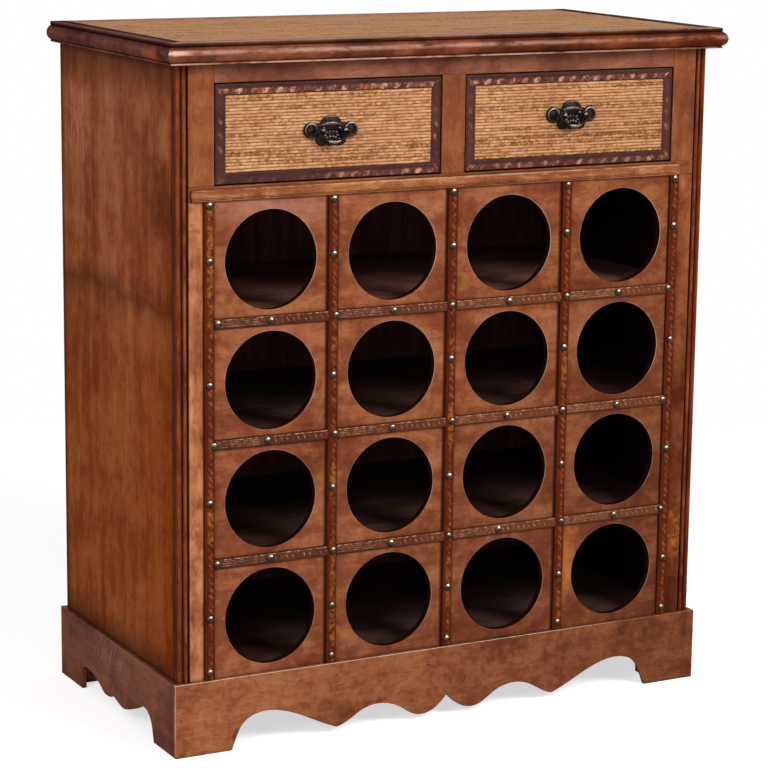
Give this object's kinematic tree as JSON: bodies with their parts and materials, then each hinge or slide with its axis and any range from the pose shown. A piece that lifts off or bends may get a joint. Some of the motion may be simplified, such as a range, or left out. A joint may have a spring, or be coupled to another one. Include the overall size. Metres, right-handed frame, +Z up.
{
  "type": "wine trunk",
  "caption": "Small upright wine cabinet on a scalloped plinth, with rows of round bottle holes under a pair of woven-front drawers with bail pulls.",
  "frame": {"origin": "middle of the footprint, on the floor", "axes": "+X to the right seen from the front, +Y from the front to the back, +Z up"},
  "size_m": [0.727, 0.3726, 0.812],
  "materials": {
    "case_wood": "reddish brown stain under satin lacquer, worn at the edges",
    "inner_wood": "dark stain, matte",
    "drawer_wood": "plain, waxed",
    "strip_leather": "embossed, waxed, rubbed at the edges",
    "woven_grass": "twisted cords in fine rows",
    "aged_bronze": "dark patina, rubbed bright on the high spots",
    "nail_brass": "antique, polished on the crown"
  },
  "bodies": {
    "carcass": {"back_panel": "inner_wood", "base_rail": "inner_wood", "bottle_shelf_1": "inner_wood", "bottle_shelf_2": "inner_wood", "bottle_shelf_3": "inner_wood", "bottom_board": "inner_wood", "corner_bead_left": "case_wood", "corner_bead_right": "case_wood", "cross_strips": "strip_leather", "drawer_deck": "inner_wood", "drawer_guides": "inner_wood", "drawer_kickers": "inner_wood", "drawer_partition": "inner_wood", "foot_blocks": "inner_wood", "mid_rail": "case_wood", "mid_strip": "case_wood", "mullion": "case_wood", "plinth_back": "case_wood", "plinth_front": "case_wood", "plinth_left": "case_wood", "plinth_right": "case_wood", "rack_front_board": "case_wood", "side_panel_left": "case_wood", "side_panel_right": "case_wood", "stile_lower_left": "case_wood", "stile_lower_right": "case_wood", "stile_upper_left": "case_wood", "stile_upper_right": "case_wood", "strip_nails": "nail_brass", "top_back_rail": "case_wood", "top_board": "case_wood", "top_moulding_front": "case_wood", "top_moulding_left": "case_wood", "top_moulding_right": "case_wood", "top_rail": "case_wood", "top_weave": "woven_grass", "upright_strip_1": "strip_leather", "upright_strip_2": "strip_leather", "upright_strip_3": "strip_leather", "upright_strip_4": "strip_leather", "upright_strip_5": "strip_leather"},
    "left_drawer": {"drawer_back_left": "drawer_wood", "drawer_border_left": "strip_leather", "drawer_bottom_left": "drawer_wood", "drawer_front_left": "case_wood", "drawer_sides_left": "drawer_wood", "drawer_weave_left": "woven_grass", "pull_plate_left": "aged_bronze", "pull_posts_left": "aged_bronze"},
    "right_drawer": {"drawer_back_right": "drawer_wood", "drawer_border_right": "strip_leather", "drawer_bottom_right": "drawer_wood", "drawer_front_right": "case_wood", "drawer_sides_right": "drawer_wood", "drawer_weave_right": "woven_grass", "pull_plate_right": "aged_bronze", "pull_posts_right": "aged_bronze"},
    "left_bail": {"pull_bail_left": "aged_bronze"},
    "right_bail": {"pull_bail_right": "aged_bronze"}
  },
  "joints": [
    {"name": "left_drawer_slide", "type": "slide", "parent": "carcass", "child": "left_drawer", "axis": [0, -1, 0], "range_m": [0, 0.24]},
    {"name": "left_bail_hinge", "type": "hinge", "parent": "left_drawer", "child": "left_bail", "pos_m": [-0.15775, -0.17425, 0.70935], "axis": [-1, 0, 0], "range_deg": [-14, 100]},
    {"name": "right_drawer_slide", "type": "slide", "parent": "carcass", "child": "right_drawer", "axis": [0, -1, 0], "range_m": [0, 0.24]},
    {"name": "right_bail_hinge", "type": "hinge", "parent": "right_drawer", "child": "right_bail", "pos_m": [0.15775, -0.17425, 0.71465], "axis": [-1, 0, 0], "range_deg": [-14, 100]}
  ]
}
